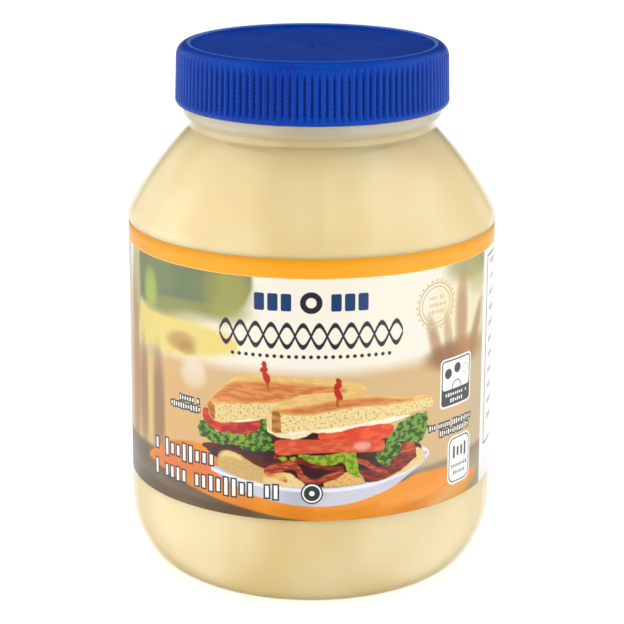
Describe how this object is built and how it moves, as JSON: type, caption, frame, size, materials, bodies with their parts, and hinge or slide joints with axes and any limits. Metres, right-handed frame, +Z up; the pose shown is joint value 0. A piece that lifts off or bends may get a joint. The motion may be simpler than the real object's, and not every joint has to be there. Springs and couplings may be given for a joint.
{
  "type": "mayonnaise jar",
  "caption": "Wide-mouth clear plastic jar filled with mayonnaise, with a ribbed blue screw-on lid and a wrap-around film label with a sandwich picture.",
  "frame": {"origin": "centre of the flat ring that the jar stands on, on the floor", "axes": "+Z up along the jar's axis, -Y towards the front of the label, +X to the right of that front"},
  "size_m": [0.1, 0.1, 0.1447],
  "materials": {
    "clear_plastic": "clear glossy blown plastic",
    "mayonnaise": "smooth creamy off-white, slightly glossy",
    "blue_lid": "semi-gloss moulded plastic, deep royal blue",
    "label_film": "printed satin film, orange band over a picture panel"
  },
  "bodies": {
    "root": {"jar": "clear_plastic", "mayonnaise": "mayonnaise", "lid": "blue_lid", "label": "label_film"}
  },
  "joints": []
}
